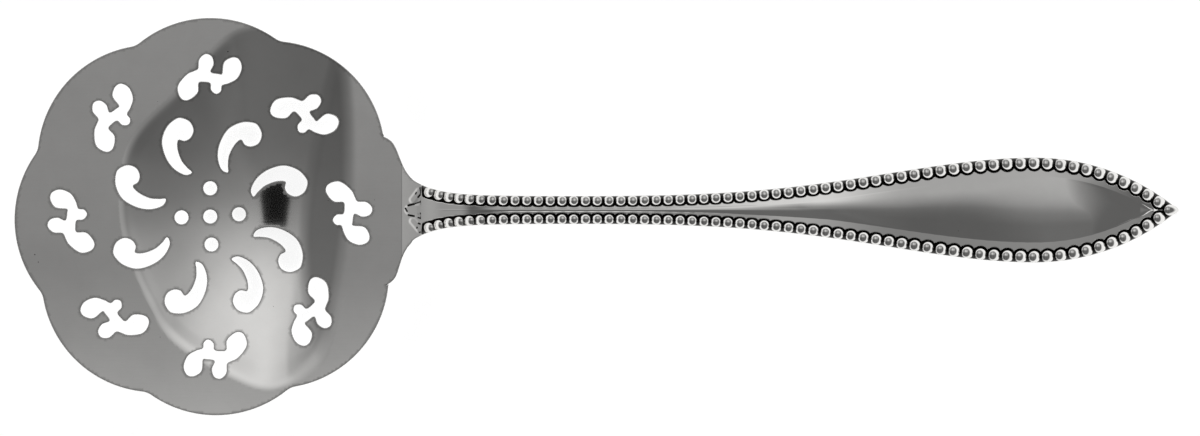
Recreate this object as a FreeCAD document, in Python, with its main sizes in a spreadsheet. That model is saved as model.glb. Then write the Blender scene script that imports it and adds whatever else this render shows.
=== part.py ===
"""Pierced tomato server in sterling silver, one solid.

The frame: +X runs along the handle towards its tip, +Z is up, and the origin is on the table, in the flat
spot under the lowest point of the well. Sizes are in millimetres and degrees.
"""

import FreeCAD, Part
import math
import os

Vector = FreeCAD.Vector
node_name = "tomato_server"
doc = FreeCAD.newDocument(node_name)

# Driving sizes, as (name, value, what it is)
driving_sizes = [
    ("lobe_count", 8, "lobes round the bowl, and commas and scrolls in its piercing"),
    ("lobe_radius", 19.5, "radius of one lobe of the rim"),
    ("lobe_reach", 34.2, "from the bowl's centre to the outermost point of a lobe"),
    ("cusp_radius", 1.0, "rounding where two lobes meet"),
    ("bowl_swing", 1.9, "turn of the bowl about the neck, to the left seen from the tip"),
    ("sheet_thickness", 1.2, "thickness of the bowl's sheet"),
    ("well_half_length", 26.2, "half of the well's length, along the handle"),
    ("well_half_width", 30.0, "half of the well's width, across the handle"),
    ("well_depth", 3.0, "depth of the well below the flat rim"),
    ("well_offset", 11.5, "from the bowl's centre to the lowest point of the well"),
    ("fold_setback", 11.4, "from the bowl's edge back to the straight fold that ends the well"),
    ("fold_slope", 26.6, "slope of the well's wall below that fold"),
    ("rest_flat_sag", 0.1, "depth worn off the underside to make the flat spot"),
    ("pattern_reach", 34.2, "reach of the bowl that the piercing is drawn for; it grows with the bowl"),
    ("pattern_offset", 0.55, "from the bowl's centre back to the middle of the piercing"),
    ("round_hole_radius", 1.19, "radius of each of the five round holes"),
    ("round_hole_ring", 4.9, "radius of the ring of four round holes"),
    ("comma_head_ring", 15.7, "radius of the ring of comma heads"),
    ("comma_tail_ring", 8.3, "radius of the ring of comma tails"),
    ("comma_tail_angle", 26.7, "angle of the first comma's tail from the bowl's axis"),
    ("comma_head_lag", 8.8, "angle of a comma's head behind its tail"),
    ("comma_head_radius", 1.94, "radius of a comma's head"),
    ("comma_back_radius", 4.95, "radius of a comma's back, which runs into its head"),
    ("comma_tail_width", 1.2, "width of a comma's blunt tail"),
    ("comma_notch_turn", 30.0, "angle at the head between the tail and the notch"),
    ("comma_inner_bow", 0.87, "bow of a comma's inner edge between its tail and the notch"),
    ("scroll_ring", 24.12, "radius of the ring of scrolls"),
    ("scroll_scale", 1.0, "size of the scrolls"),
    ("handle_length", 132.1, "from the bowl's edge to the tip of the handle, seen from above"),
    ("tongue_overlap", 1.5, "length of the handle's leaf that lies on the bowl"),
    ("tongue_point", 0.9, "how far the middle of the leaf stands out of its corners"),
    ("tongue_rise", 0.35, "height of the leaf over the bowl's rim"),
    ("shank_half_width", 2.41, "half of the handle's width at its narrowest"),
    ("flare", 2.9, "how much wider each side is where the neck leaves the bowl"),
    ("flare_length", 4.3, "distance over which that widening dies out"),
    ("shoulder_half_width", 12.9, "half of the width across the shoulders between bowl and neck"),
    ("shoulder_setback", 4.8, "from the bowl's edge back to where a shoulder leaves the rim"),
    ("shoulder_corner", 2.1, "size of a shoulder's rounded corner"),
    ("throat_half_width", 7.5, "half of the width where a shoulder sweeps into the neck"),
    ("throat_setback", 1.3, "from the bowl's edge back to that place"),
    ("throat_run", 0.6, "from the bowl's edge on to where the sweep ends at the neck"),
    ("swell_start", 24.5, "from the bowl's edge to where the handle begins to widen"),
    ("swell_power", 1.6, "how late the handle widens, 1 being evenly"),
    ("blade_half_width", 9.02, "half of the handle's width at its widest"),
    ("tip_length", 25.0, "from the widest place to the tip"),
    ("shank_thickness", 2.0, "thickness under the bead row in the shank"),
    ("blade_thickness", 1.1, "thickness under the bead row at the widest place"),
    ("neck_run", 16.0, "length of the rising neck, seen from above"),
    ("neck_height", 9.8, "height of the underside at the top of the neck"),
    ("neck_slope", 9.0, "slope where the neck passes into the shank"),
    ("arch_run", 53.0, "from the top of the neck to the top of the arch"),
    ("arch_height", 14.3, "height of the underside at the top of the arch"),
    ("tip_slope", 20.0, "slope down to the table at the tip"),
    ("bead_count", 61, "beads along each side, without the one at the tip"),
    ("bead_small", 1.65, "bead diameter at the neck and in the shank"),
    ("bead_large", 1.95, "bead diameter at the widest place"),
    ("bead_edge_gap", 0.05, "from the bead row to the edge of the handle"),
    ("bead_first", 2.9, "from the bowl's edge to the middle of the first bead"),
    ("bead_rise", 0.45, "height of a bead, as a share of its diameter"),
    ("channel_gap", 0.15, "width of the channel between the beads and the field"),
    ("field_rise", 0.35, "height of the field over the floor of the bead row"),
    ("field_point", 0.2, "how far the middle of the field's front stands out of its corners"),
    ("panel_start", 38.0, "from the bowl's edge to the start of the crowned panel"),
    ("panel_share", 0.78, "width of the crowned panel, as a share of the field"),
    ("panel_crown", 0.85, "height of the crowned panel over the field at the widest place"),
    ("panel_end_gap", 3.6, "from the end of the panel to the tip"),
]

sheet = doc.addObject("Spreadsheet::Sheet", "sizes")
for row, (alias, value, note) in enumerate(driving_sizes, start=1):
    sheet.set(f"A{row}", alias)
    sheet.set(f"B{row}", str(value))
    sheet.set(f"C{row}", note)
    sheet.setAlias(f"B{row}", alias)
doc.recompute()


def size(alias):
    return float(sheet.get(alias))


def bind(thing, **expressions):
    """Ties properties of an object to the sheet; a double underscore in a name stands for a dot."""
    for path, expression in expressions.items():
        thing.setExpression(path.replace("__", "."), expression)
    return thing


def boolean(kind, name, base, tool):
    """A Cut or Common of two objects."""
    result = doc.addObject(f"Part::{kind}", name)
    result.Base = base
    result.Tool = tool
    return result


def fuse(name, shapes):
    result = doc.addObject("Part::MultiFuse", name)
    result.Shapes = shapes
    result.Refine = True
    return result


def feature(name, shape):
    """An object whose shape is worked out here from the sheet."""
    result = doc.addObject("Part::Feature", name)
    result.Shape = shape
    return result


# Places that follow from the driving sizes
full_turn = 360.0
lobe_step = full_turn / size("lobe_count")
lobe_centre_ring = size("lobe_reach") - size("lobe_radius")
half_lobe = math.radians(lobe_step / 2)
cusp_ring = lobe_centre_ring * math.cos(half_lobe) + math.sqrt(
    size("lobe_radius") ** 2 - (lobe_centre_ring * math.sin(half_lobe)) ** 2
)
bowl_edge_x = size("lobe_reach") - size("well_offset")
fold_x = bowl_edge_x - size("fold_setback")
pattern_scale = size("lobe_reach") / size("pattern_reach")
tip_x = bowl_edge_x + size("handle_length")
widest_x = tip_x - size("tip_length")
swell_start_x = bowl_edge_x + size("swell_start")
tongue_x = bowl_edge_x - size("tongue_overlap")
tip_arc = (size("tip_length") ** 2 + size("blade_half_width") ** 2) / (2 * size("blade_half_width"))

# The well is a paraboloid: a section along or across the handle is a parabola with that radius at its bottom
well_radius_along = size("well_half_length") ** 2 / (2 * size("well_depth"))
well_radius_across = size("well_half_width") ** 2 / (2 * size("well_depth"))
rim_underside = size("well_depth") - size("rest_flat_sag")
rim_top = rim_underside + size("sheet_thickness")
space = 20.0  # how far the cutting bodies reach past the work
outline_stations = 14  # places that fix one side of the handle's outline
profile_stations = 24  # places that fix the handle's profile
panel_stations = 12  # spans between the sections of the crowned panel
bead_sides = 6
bead_samples = 2000  # places at which a row's length is added up

# The bowl turns about the point where the neck leaves it
swing = FreeCAD.Placement(
    Vector(bowl_edge_x, 0, 0), FreeCAD.Rotation(Vector(0, 0, 1), size("bowl_swing"))
).multiply(FreeCAD.Placement(Vector(-bowl_edge_x, 0, 0), FreeCAD.Rotation()))


def on_bowl(ring, angle, centre_x=-size("well_offset")):
    """A point of the bowl at a radius and an angle from its axis, before the swing."""
    turn = math.radians(angle)
    return Vector(centre_x + ring * math.cos(turn), ring * math.sin(turn), 0)


# Rim outline: overlapping discs, one for each lobe, with the corners between them rounded
lobes = []
for index in range(int(size("lobe_count"))):
    lobe = doc.addObject("Part::Cylinder", f"lobe_{index + 1}")
    bind(lobe, Radius="sizes.lobe_radius")
    lobe.Height = rim_top + space
    lobe.Placement.Base = on_bowl(lobe_centre_ring, index * lobe_step)
    lobes.append(lobe)
lobed_disc = fuse("lobed_disc", lobes)
doc.recompute()


def cusp_edges(shape):
    """Numbers of the upright edges where two lobes meet."""
    found = []
    for number, edge in enumerate(shape.Edges, start=1):
        start, end = edge.Vertexes[0].Point, edge.Vertexes[-1].Point
        upright = abs(start.z - end.z) > space / 2 and abs(start.x - end.x) + abs(start.y - end.y) < 1e-6
        ring = math.hypot(start.x + size("well_offset"), start.y)
        if upright and abs(ring - cusp_ring) < 1e-3:
            found.append(number)
    return found


rim_outline = doc.addObject("Part::Fillet", "rim_outline")
rim_outline.Base = lobed_disc
cusp_radius = size("cusp_radius")
rim_outline.Edges = [(number, cusp_radius, cusp_radius) for number in cusp_edges(lobed_disc.Shape)]
doc.recompute()


# Outline of one side of the handle, which the shoulders run into
def swell(x):
    """0 in the shank, rising smoothly to 1 at the widest place."""
    share = min(max((x - swell_start_x) / (widest_x - swell_start_x), 0.0), 1.0)
    return (1 - math.cos(math.pi * share ** size("swell_power"))) / 2


def half_width(x, inset=0.0):
    """Half of the handle's width at x, less an inset all round."""
    if x > widest_x:
        reach = max((tip_arc - inset) ** 2 - (x - widest_x) ** 2, 0.0)
        return math.sqrt(reach) - (tip_arc - size("blade_half_width"))
    widened = size("shank_half_width") + (size("blade_half_width") - size("shank_half_width")) * swell(x)
    flared = size("flare") * math.exp(-(x - bowl_edge_x) / size("flare_length"))
    return widened + flared - inset


def shoulders():
    """The flat outline that fills the corners between the bowl and the neck, the same on both sides."""
    start_x = bowl_edge_x - size("shoulder_setback")
    start_y = size("shoulder_half_width")
    corner = size("shoulder_corner")
    throat_x = bowl_edge_x - size("throat_setback")
    neck_x = bowl_edge_x + size("throat_run")
    places = [
        (start_x, start_y),
        (start_x + corner / 2, start_y - corner / 3),
        (start_x + corner, start_y - corner),
        (throat_x, size("throat_half_width")),
        (neck_x, half_width(neck_x)),
    ]
    left_points = [Vector(x, y, 0) for x, y in places]
    right_points = [Vector(x, -y, 0) for x, y in places]
    left_side, right_side = Part.BSplineCurve(), Part.BSplineCurve()
    left_side.interpolate(Points=left_points)
    right_side.interpolate(Points=right_points)
    ends = [
        Part.LineSegment(left_points[-1], right_points[-1]),
        Part.LineSegment(right_points[0], left_points[0]),
    ]
    curves = [left_side, ends[0], right_side, ends[1]]
    return Part.Face(Part.Wire(Part.__sortEdges__([curve.toShape() for curve in curves])))


shoulder_block = feature("shoulder_block", shoulders().extrude(Vector(0, 0, rim_top + space)))
bowl_outline = fuse("bowl_outline", [rim_outline, shoulder_block])
doc.recompute()
turned_outline = feature("turned_outline", bowl_outline.Shape.copy())
turned_outline.Placement = swing

# Bowl sheet: a flat rim plate with a well pressed into it
rim_plate = doc.addObject("Part::Cylinder", "rim_plate")
bind(rim_plate, Radius="sizes.lobe_reach + sizes.well_offset", Height="sizes.sheet_thickness")
bind(rim_plate, Placement__Base__z="sizes.well_depth - sizes.rest_flat_sag")

below_rim = doc.addObject("Part::Cylinder", "below_rim")
bind(below_rim, Radius="sizes.lobe_reach + sizes.well_offset")
bind(below_rim, Height="sizes.well_depth + sizes.sheet_thickness")
bind(below_rim, Placement__Base__z="-sizes.rest_flat_sag")


def well_form(name, bottom_z, rim_z):
    """The body that presses the well: all over a paraboloid and over the wall that climbs to the fold."""
    half = size("lobe_reach") + size("well_offset") + space / 4
    surface = Part.BezierSurface()
    surface.increase(2, 2)
    # the middle pole of a parabola lies as far below its lowest point as its ends lie above
    poles = ((-half, 1), (0, -1), (half, 1))
    for along, (x, x_sign) in enumerate(poles, start=1):
        for across, (y, y_sign) in enumerate(poles, start=1):
            rise = half ** 2 / 2 * (x_sign / well_radius_along + y_sign / well_radius_across)
            surface.setPole(along, across, Vector(x, y, bottom_z + rise))
    dish = feature(f"{name}_dish", surface.toShape().extrude(Vector(0, 0, 4 * space)))
    climb = half * math.tan(math.radians(size("fold_slope")))
    corners = [
        Vector(fold_x - half, -half, rim_z - climb),
        Vector(fold_x + half, -half, rim_z + climb),
        Vector(fold_x + half, -half, rim_z + 4 * space),
        Vector(fold_x - half, -half, rim_z + 4 * space),
    ]
    wall = Part.Face(Part.makePolygon(corners + corners[:1])).extrude(Vector(0, 2 * half, 0))
    return boolean("Common", name, dish, feature(f"{name}_wall", wall))


well_underside_z = -size("rest_flat_sag")
outer_form = well_form("outer_form", well_underside_z, rim_underside)
well_outside = boolean("Common", "well_outside", outer_form, below_rim)
pressed_sheet = fuse("pressed_sheet", [rim_plate, well_outside])
inner_form = well_form("inner_form", well_underside_z + size("sheet_thickness"), rim_top)
open_sheet = boolean("Cut", "open_sheet", pressed_sheet, inner_form)
bowl_blank = boolean("Common", "bowl_blank", open_sheet, turned_outline)


# Piercing: each opening is drawn flat, then cut through the bowl
def disc(centre, radius):
    return Part.Face(Part.Wire(Part.makeCircle(radius, centre)))


def stroke(start, start_radius, end, end_radius):
    """Two discs joined by their outer tangents."""
    along = end.sub(start)
    lean = math.acos((start_radius - end_radius) / along.Length)
    heading = math.atan2(along.y, along.x)

    def rim_point(centre, radius, angle):
        return centre.add(Vector(radius * math.cos(angle), radius * math.sin(angle), 0))

    left_start = rim_point(start, start_radius, heading + lean)
    right_start = rim_point(start, start_radius, heading - lean)
    left_end = rim_point(end, end_radius, heading + lean)
    right_end = rim_point(end, end_radius, heading - lean)
    back = rim_point(start, start_radius, heading + math.pi)
    front = rim_point(end, end_radius, heading)
    edges = [
        Part.LineSegment(right_start, right_end).toShape(),
        Part.Arc(right_end, front, left_end).toShape(),
        Part.LineSegment(left_end, left_start).toShape(),
        Part.Arc(left_start, back, right_start).toShape(),
    ]
    return Part.Face(Part.Wire(edges))


def joined(faces):
    whole = faces[0].fuse(faces[1:])
    return whole.removeSplitter()


pattern_x = -size("well_offset") - size("pattern_offset")
pattern_middle = Vector(pattern_x, 0, 0)


def comma():
    """A round head with a tail that curls in towards the bowl's middle, its back running into the head."""
    head_radius, back_radius = size("comma_head_radius"), size("comma_back_radius")
    tail_angle = size("comma_tail_angle")
    head = on_bowl(size("comma_head_ring"), tail_angle - size("comma_head_lag"), pattern_x)
    tail = on_bowl(size("comma_tail_ring"), tail_angle, pattern_x)
    along = head.sub(tail).normalize()
    left = Vector(-along.y, along.x, 0)
    outer_tail = tail.add(left * size("comma_tail_width") / 2)
    inner_tail = tail.sub(left * size("comma_tail_width") / 2)
    # the back's centre lies back_radius from the tail, and the radii's difference from the head's centre
    to_head = head.sub(outer_tail)
    reach = to_head.Length
    near = (reach ** 2 + back_radius ** 2 - (back_radius - head_radius) ** 2) / (2 * reach)
    aside = Vector(to_head.y, -to_head.x, 0) / reach * math.sqrt(back_radius ** 2 - near ** 2)
    back_centre = outer_tail.add(to_head / reach * near).add(aside)
    head_end = head.add(head.sub(back_centre).normalize() * head_radius)
    half_way = outer_tail.sub(back_centre).add(head_end.sub(back_centre)).normalize()
    back_middle = back_centre.add(half_way * back_radius)
    notch_turn = FreeCAD.Rotation(Vector(0, 0, 1), -size("comma_notch_turn"))
    notch = head.add(notch_turn.multVec(along * -head_radius))
    inner_middle = notch.add(inner_tail).multiply(0.5).add(left * size("comma_inner_bow"))
    edges = [
        Part.Arc(outer_tail, back_middle, head_end).toShape(),
        Part.LineSegment(head_end, head).toShape(),
        Part.LineSegment(head, notch).toShape(),
        Part.Arc(notch, inner_middle, inner_tail).toShape(),
        Part.LineSegment(inner_tail, outer_tail).toShape(),
    ]
    return joined([Part.Face(Part.Wire(edges)), disc(head, head_radius)])


# A scroll's discs, as places outward and leftward from its ring with a radius, and what joins them
scroll_discs = {
    "upper_head": (-2.23, 3.42, 1.67),
    "upper_bend": (0.0, 1.98, 1.1),
    "upper_bud": (2.71, 0.29, 1.27),
    "lower_head": (1.37, -4.21, 1.55),
    "lower_bend": (-0.26, -2.9, 0.95),
    "lower_bud": (-2.03, -1.36, 0.88),
}
scroll_strokes = [
    ("upper_head", 1.67, "upper_bend", 1.1),
    ("upper_bend", 1.1, "upper_bud", 0.85),
    ("lower_head", 1.55, "lower_bend", 0.95),
    ("lower_bend", 0.95, "lower_bud", 0.6),
    ("upper_bend", 0.9, "lower_bend", 0.8),
]


def scroll():
    """Two commas back to back, joined by a bar."""
    scale = size("scroll_scale")
    centres = {}
    for name, (outward, leftward, radius) in scroll_discs.items():
        centres[name] = Vector(pattern_x + size("scroll_ring") + outward * scale, leftward * scale, 0)
    parts = [
        stroke(centres[start], start_radius * scale, centres[end], end_radius * scale)
        for start, start_radius, end, end_radius in scroll_strokes
    ]
    for bud in ("upper_bud", "lower_bud"):
        parts.append(disc(centres[bud], scroll_discs[bud][2] * scale))
    return joined(parts)


def ring_of(face, first_angle=0.0):
    """A face repeated round the middle of the piercing, once for each lobe."""
    copies = []
    for index in range(int(size("lobe_count"))):
        turned = face.copy()
        turned.rotate(pattern_middle, Vector(0, 0, 1), first_angle + index * lobe_step)
        copies.append(turned)
    return copies


round_holes = [disc(pattern_middle, size("round_hole_radius"))]
for angle in (0.0, 90.0, 180.0, 270.0):
    centre = on_bowl(size("round_hole_ring"), angle, pattern_x)
    round_holes.append(disc(centre, size("round_hole_radius")))
openings = Part.Compound(round_holes + ring_of(comma()) + ring_of(scroll()))
openings.scale(pattern_scale, pattern_middle)
piercing = feature("piercing", openings.extrude(Vector(0, 0, rim_top + space)))
piercing.Placement = FreeCAD.Placement(Vector(0, 0, -space / 2), FreeCAD.Rotation()).multiply(swing)
bowl = boolean("Cut", "bowl", bowl_blank, piercing)


# Handle seen from above
def apex_x(inset=0.0):
    """Where the two sides of the tip meet, with the outline set in all round."""
    return widest_x + math.sqrt((tip_arc - inset) ** 2 - (tip_arc - size("blade_half_width")) ** 2)


def bead_diameter(x):
    return size("bead_small") + (size("bead_large") - size("bead_small")) * swell(x)


def bead_inset(x):
    return size("bead_edge_gap") + bead_diameter(x) / 2


def field_inset(x):
    return size("bead_edge_gap") + bead_diameter(x) + size("channel_gap")


def plan_face(front_x, inset_at, front_point):
    """The handle's outline from front_x to its tip, set in by inset_at(x), with a bowed front."""
    step = (widest_x - front_x) / outline_stations
    xs = [front_x + index * step for index in range(outline_stations + 1)]
    left_points = [Vector(x, half_width(x, inset_at(x)), 0) for x in xs]
    right_points = [Vector(point.x, -point.y, 0) for point in left_points]
    last_inset = inset_at(widest_x)
    apex = Vector(apex_x(last_inset), 0, 0)
    arc_x = (widest_x + apex.x) / 2
    left_side = Part.BSplineCurve()
    left_side.interpolate(Points=left_points)
    right_side = Part.BSplineCurve()
    right_side.interpolate(Points=right_points)
    left_tip = Part.Arc(left_points[-1], Vector(arc_x, half_width(arc_x, last_inset), 0), apex)
    right_tip = Part.Arc(apex, Vector(arc_x, -half_width(arc_x, last_inset), 0), right_points[-1])
    front = Part.Arc(right_points[0], Vector(front_x - front_point, 0, 0), left_points[0])
    curves = [left_side, left_tip, right_tip, right_side, front]
    return Part.Face(Part.Wire(Part.__sortEdges__([curve.toShape() for curve in curves])))


# Handle seen from the side: a chain of smooth spans, each from one height and slope to the next
tongue_start_x = tongue_x - size("tongue_point") - size("sheet_thickness")
tongue_start_z = rim_top + size("tongue_rise") - size("shank_thickness")
side_stations = [
    (tongue_start_x, tongue_start_z, 0.0),
    (tongue_x + size("neck_run"), size("neck_height"), math.tan(math.radians(size("neck_slope")))),
    (tongue_x + size("neck_run") + size("arch_run"), size("arch_height"), 0.0),
    (tip_x, 0.0, -math.tan(math.radians(size("tip_slope")))),
]


def underside(x):
    """Height of the handle's underside at x."""
    for (x0, z0, slope0), (x1, z1, slope1) in zip(side_stations, side_stations[1:]):
        if x <= x1 or x1 == tip_x:
            break
    run = x1 - x0
    share = (x - x0) / run
    square, cube = share ** 2, share ** 3
    from_start = (2 * cube - 3 * square + 1) * z0 + (cube - 2 * square + share) * run * slope0
    from_end = (3 * square - 2 * cube) * z1 + (cube - square) * run * slope1
    return from_start + from_end


def thickness(x):
    """Thickness under the bead row."""
    return size("shank_thickness") - (size("shank_thickness") - size("blade_thickness")) * swell(x)


def ledge(x):
    """Height of the floor that the beads stand on."""
    return underside(x) + thickness(x)


def field_top(x):
    return ledge(x) + size("field_rise")


def slab(lower, upper):
    """A body of the handle's full width between two heights that change along it."""
    end_x = tip_x + size("sheet_thickness")
    step = (end_x - tongue_start_x) / profile_stations
    xs = [tongue_start_x + index * step for index in range(profile_stations + 1)]
    side = size("blade_half_width") + space
    bottom_points = [Vector(x, -side, lower(x)) for x in xs]
    top_points = [Vector(x, -side, upper(x)) for x in xs]
    bottom = Part.BSplineCurve()
    bottom.interpolate(Points=bottom_points)
    top = Part.BSplineCurve()
    top.interpolate(Points=top_points)
    edges = [
        bottom.toShape(),
        Part.LineSegment(bottom_points[-1], top_points[-1]).toShape(),
        top.toShape(),
        Part.LineSegment(top_points[0], bottom_points[0]).toShape(),
    ]
    face = Part.Face(Part.Wire(Part.__sortEdges__(edges)))
    return face.extrude(Vector(0, 2 * side, 0))


def standing(face):
    """A flat outline drawn up into a body that is taller than the handle."""
    tall = face.copy()
    tall.translate(Vector(0, 0, -space))
    return tall.extrude(Vector(0, 0, size("arch_height") + 3 * space))


handle_plan = plan_face(tongue_x, lambda x: 0.0, size("tongue_point"))
handle_outline = feature("handle_outline", standing(handle_plan))
handle_slab = feature("handle_slab", slab(underside, ledge))
handle_blank = boolean("Common", "handle_blank", handle_slab, handle_outline)

field_front_x = bowl_edge_x + size("bead_first") - size("bead_small") / 2
field_plan = plan_face(field_front_x, field_inset, size("field_point"))
field_outline = feature("field_outline", standing(field_plan))
field_slab = feature("field_slab", slab(lambda x: underside(x) + thickness(x) / 2, field_top))
field = boolean("Common", "field", field_slab, field_outline)


# Crowned panel: arched sections along the field, narrowing to a point before the tip
panel_start_x = bowl_edge_x + size("panel_start")
panel_end_x = tip_x - size("panel_end_gap")
widest_panel = half_width(widest_x, field_inset(widest_x)) * size("panel_share")
least_panel = 0.2  # half of the panel's width at its point


def panel_half_width(x):
    return max(half_width(x, field_inset(x)) * size("panel_share"), least_panel)


def panel_section(x):
    half = panel_half_width(x)
    crown = size("panel_crown") * half / widest_panel
    base_z = field_top(x) - size("field_rise") * 0.5
    left, right = Vector(x, half, base_z), Vector(x, -half, base_z)
    low_left, low_right = Vector(x, half, field_top(x)), Vector(x, -half, field_top(x))
    arch = Part.Arc(low_left, Vector(x, 0, field_top(x) + crown), low_right).toShape()
    sides = [Part.LineSegment(left, low_left).toShape(), Part.LineSegment(low_right, right).toShape()]
    return Part.Wire([sides[0], arch, sides[1], Part.LineSegment(right, left).toShape()])


panel_sections = []
for index in range(panel_stations + 1):
    # stations close up towards the end, where the panel narrows fastest
    share = math.sin(math.pi / 2 * index / panel_stations)
    x = panel_start_x + (panel_end_x - panel_start_x) * share
    panel_sections.append(feature(f"panel_section_{index + 1}", panel_section(x)))
panel = doc.addObject("Part::Loft", "panel")
panel.Sections = panel_sections
panel.Solid = True
panel.Ruled = True


# Beads: faceted domes in a row along each side, evenly graded with their own diameter, and one at the tip
def row_point(x):
    return Vector(x, half_width(x, bead_inset(x)), ledge(x))


def bead_stations():
    """Places along one row such that each step is the same multiple of the bead's diameter."""
    start_x = bowl_edge_x + size("bead_first")
    end_x = apex_x(bead_inset(widest_x))
    xs = [start_x + (end_x - start_x) * index / bead_samples for index in range(bead_samples + 1)]
    beads_so_far = [0.0]
    for x0, x1 in zip(xs, xs[1:]):
        step = row_point(x1).distanceToPoint(row_point(x0))
        beads_so_far.append(beads_so_far[-1] + step / bead_diameter((x0 + x1) / 2))
    per_bead = beads_so_far[-1] / size("bead_count")
    places = []
    index = 0
    for number in range(int(size("bead_count")) + 1):
        while index < bead_samples and beads_so_far[index] < number * per_bead - 1e-9:
            index += 1
        places.append(xs[index])
    return places


def bead(x, side):
    """A six-sided dome that stands square on the slope of its floor."""
    radius = bead_diameter(x) / 2
    height = bead_diameter(x) * size("bead_rise")
    centre = row_point(x)
    centre.y *= side
    slope = math.atan2(ledge(x + radius) - ledge(x - radius), 2 * radius)
    tilt = FreeCAD.Rotation(Vector(0, 1, 0), -math.degrees(slope))

    def local(share_out, share_up, turn):
        out = radius * share_out
        return centre.add(tilt.multVec(Vector(out * math.cos(turn), out * math.sin(turn), height * share_up)))

    turns = [2 * math.pi * (corner + 0.5) / bead_sides for corner in range(bead_sides)]
    foot = [local(1.0, -0.25, turn) for turn in turns]
    shoulder = [local(0.8, 0.6, turn) for turn in turns]
    crown = local(0.0, 1.0, 0.0)
    # every face runs anticlockwise seen from outside, the foot seen from below
    outlines = [foot[::-1] + foot[-1:]]
    for corner in range(bead_sides):
        after = (corner + 1) % bead_sides
        outlines.append([foot[corner], foot[after], shoulder[after], shoulder[corner], foot[corner]])
        outlines.append([shoulder[corner], shoulder[after], crown, shoulder[corner]])
    faces = [Part.Face(Part.makePolygon(outline)) for outline in outlines]
    return Part.Solid(Part.Shell(faces))


stations = bead_stations()
beads = [bead(x, side) for x in stations[:-1] for side in (1, -1)] + [bead(stations[-1], 0)]
bead_rows = feature("bead_rows", Part.Compound(beads))

# The whole server, worn flat where it touches the table
beaded_handle = fuse("beaded_handle", [handle_blank, bead_rows])
joined_server = fuse("joined_server", [bowl, beaded_handle, field, panel])
table = doc.addObject("Part::Box", "table")
bowl_front_x = -size("lobe_reach") - size("well_offset")
table.Length = tip_x - bowl_front_x + 2 * space
table.Width = 2 * (size("lobe_reach") + space)
table.Height = space
table.Placement.Base = Vector(bowl_front_x - space, -table.Width.Value / 2, -space)
server = boolean("Cut", node_name, joined_server, table)
server.Label = node_name
doc.recompute()

faults = [thing.Name for thing in doc.Objects if {"Invalid", "Error"} & set(thing.State)]
if faults:
    raise SystemExit(f"these objects failed: {', '.join(faults)}")
shape = server.Shape
if shape.isNull() or not shape.isValid() or len(shape.Solids) != 1:
    raise SystemExit(f"{node_name} is not one valid solid: {len(shape.Solids)} solids")

os.makedirs("parts", exist_ok=True)
shape.exportStep(f"parts/{node_name}.step")
print(f"{node_name}: {shape.Volume:.0f} mm3, {len(shape.Faces)} faces")
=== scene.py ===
import math
import bpy
import numpy as np
from mathutils.geometry import delaunay_2d_cdt
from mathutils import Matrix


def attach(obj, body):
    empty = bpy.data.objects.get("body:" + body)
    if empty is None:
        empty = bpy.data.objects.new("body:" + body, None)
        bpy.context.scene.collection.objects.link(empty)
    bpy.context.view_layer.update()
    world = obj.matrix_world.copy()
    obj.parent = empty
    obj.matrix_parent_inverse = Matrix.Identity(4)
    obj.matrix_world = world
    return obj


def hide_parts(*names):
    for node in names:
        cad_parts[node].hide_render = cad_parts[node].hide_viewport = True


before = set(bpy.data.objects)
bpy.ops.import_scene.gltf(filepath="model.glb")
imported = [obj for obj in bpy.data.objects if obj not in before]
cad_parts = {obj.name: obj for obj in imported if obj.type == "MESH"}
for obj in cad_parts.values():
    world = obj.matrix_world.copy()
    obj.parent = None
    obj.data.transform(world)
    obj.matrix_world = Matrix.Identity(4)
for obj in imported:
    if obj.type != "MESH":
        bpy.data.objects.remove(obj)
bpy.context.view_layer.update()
mm = 0.001  # every size below is in millimetres, in the frame of the solids
print("frame loaded")


# Small formulas that all pieces share
def softStep(low, high, value):  # 0 below low, 1 above high, an S curve between
    share = np.clip((value - low) / (high - low), 0, 1)
    return share * share * (3 - 2 * share)


def softMax(a, b, rounding):  # the higher of two surfaces, their corner rounded over that height
    overlap = np.maximum(rounding - np.abs(a - b), 0)
    return np.maximum(a, b) + overlap * overlap / (4 * rounding)


def softMin(a, b, rounding):
    return -softMax(-a, -b, rounding)


# Handle: one side of its outline, its profile and the bead row follow from these sizes
handle = {
    "bowlEdge": 22.7, "tip": 154.8, "tipLength": 25.0,
    "shankHalf": 2.41, "bladeHalf": 9.02, "flare": 2.9, "flareLength": 4.3,
    "swellStart": 47.2, "swellPower": 1.6,
    "shankThick": 2.0, "bladeThick": 1.1,
    # underside of the arch, as (x, height, slope)
    "profile": [(17.5, -0.32, 0.596), (24.3, 3.73, 0.59), (37.2, 9.8, 0.158), (90.2, 14.3, 0.0),
                (154.8, 0.0, -0.364)],
    "fieldRise": 0.35, "backRound": 0.45, "backRoundLength": 8.0,
    "join": 24.3,  # where the handle's mesh meets the bowl's
    "endGap": 0.03,
}
widest = handle["tip"] - handle["tipLength"]
tipArc = (handle["tipLength"] ** 2 + handle["bladeHalf"] ** 2) / (2 * handle["bladeHalf"])


def swell(x):  # 0 in the shank, rising as a late cosine to 1 at the widest place
    share = np.clip((x - handle["swellStart"]) / (widest - handle["swellStart"]), 0, 1)
    return (1 - np.cos(np.pi * share ** handle["swellPower"])) / 2


def halfWidth(x, inset=0.0):  # shank, swell and flare added up, then a round arc to the tip
    body = handle["shankHalf"] + (handle["bladeHalf"] - handle["shankHalf"]) * swell(x)
    body = body + handle["flare"] * np.exp(-(x - handle["bowlEdge"]) / handle["flareLength"]) - inset
    arc = np.sqrt(np.maximum((tipArc - inset) ** 2 - (x - widest) ** 2, 0)) - (tipArc - handle["bladeHalf"])
    return np.where(x > widest, arc, body)


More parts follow.
